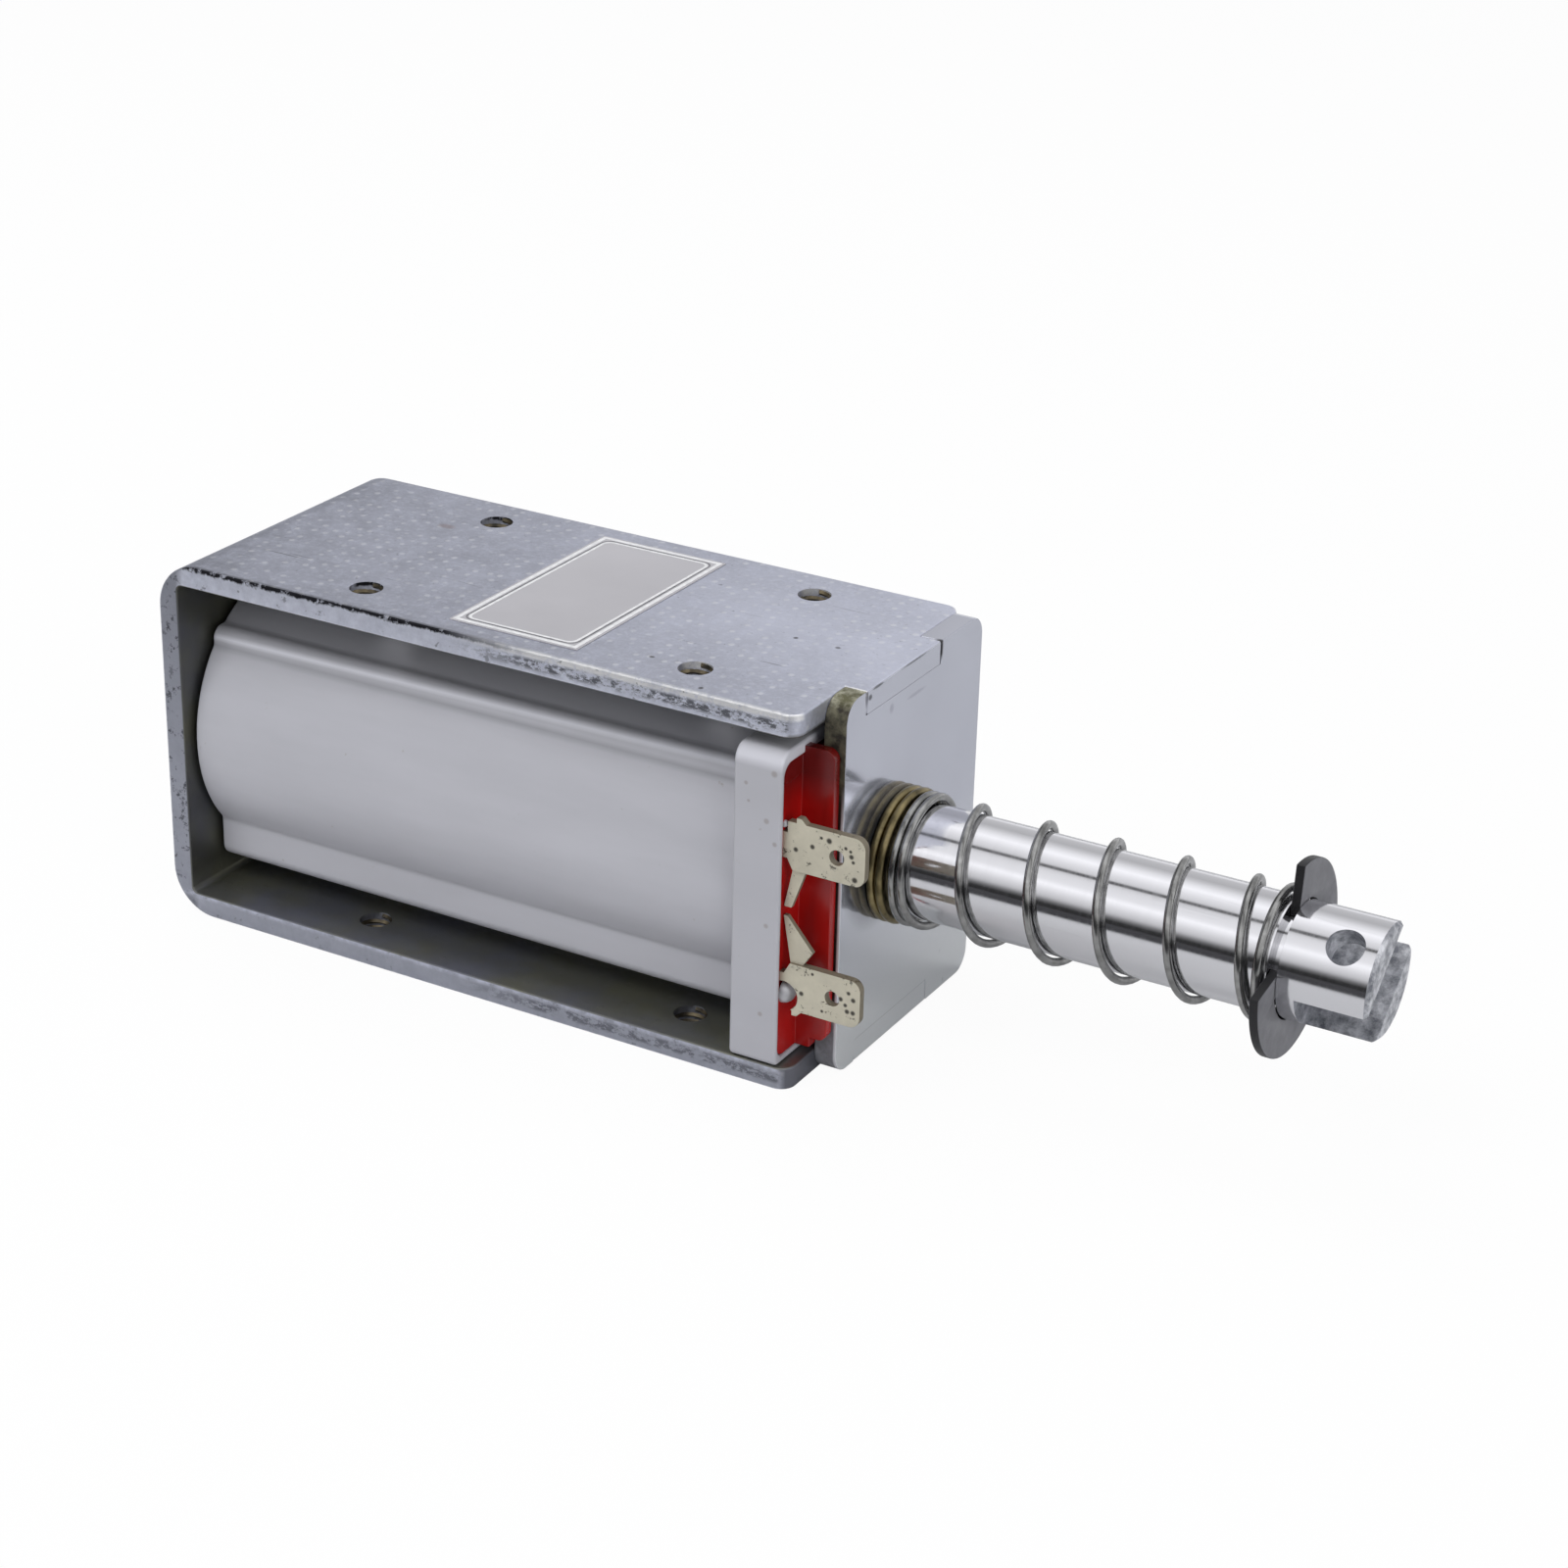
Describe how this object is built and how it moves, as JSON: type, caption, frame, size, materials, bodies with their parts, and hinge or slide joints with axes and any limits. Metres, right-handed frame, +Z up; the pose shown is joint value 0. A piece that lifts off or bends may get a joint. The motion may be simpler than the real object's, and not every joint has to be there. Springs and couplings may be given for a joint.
{
  "type": "push pull solenoid",
  "caption": "Box-frame push pull solenoid: folded steel frame, encapsulated coil, two blade terminals and a sprung round plunger with a slotted, cross-drilled fork end.",
  "frame": {"origin": "centre of the four tapped holes in the bottom sheet, on its outer face", "axes": "+X along the plunger, out of the front plate towards the fork; +Z up, out of the top sheet with the label; -Y is the open side with the two blade terminals"},
  "size_m": [0.1297, 0.0322, 0.0381],
  "materials": {
    "zinc_steel": "satin zinc plate",
    "label_foil": "matt foil, blank",
    "fibre": "matt fibre sheet",
    "red_plastic": "glossy moulded nylon",
    "copper": "enamelled copper wire",
    "tape": "amber polyester tape",
    "pale_plastic": "moulded, light grey white",
    "tinned_brass": "matt tin plate",
    "solder": "dull solder",
    "brass_tube": "drawn brass, darkened",
    "plain_steel": "turned steel",
    "black_rubber": "matt rubber",
    "spring_steel": "bright drawn wire",
    "plunger_chrome": "ground and plated",
    "stainless": "ground bar",
    "dark_steel": "phosphated spring steel"
  },
  "bodies": {
    "housing": {"frame": "zinc_steel", "front_plate": "zinc_steel", "label": "label_foil", "rear_insulator": "fibre", "bobbin": "red_plastic", "winding": "copper", "winding_tape": "tape", "coil_cover": "pale_plastic", "terminal_upper": "tinned_brass", "terminal_lower": "tinned_brass", "solder_upper": "solder", "solder_lower": "solder", "lead_upper": "copper", "lead_lower": "copper", "guide_tube": "brass_tube", "fixed_core": "plain_steel", "seat_damper": "black_rubber", "return_spring": "spring_steel"},
    "slider": {"plunger_clip": "dark_steel"},
    "armature": {"plunger": "plunger_chrome", "push_rod": "stainless", "end_damper": "black_rubber", "end_washer": "stainless", "rod_clip": "dark_steel"}
  },
  "joints": [
    {"name": "plunger_stroke", "type": "slide", "parent": "housing", "child": "slider", "axis": [-1, 0, 0], "range_m": [0, 0.022], "stiffness_N_per_m": 150, "springref_m": -0.008, "deforming": ["return_spring"]},
    {"name": "plunger_spin", "type": "hinge", "parent": "slider", "child": "armature", "pos_m": [0.074, 0, 0.019], "axis": [1, 0, 0], "continuous": true}
  ]
}
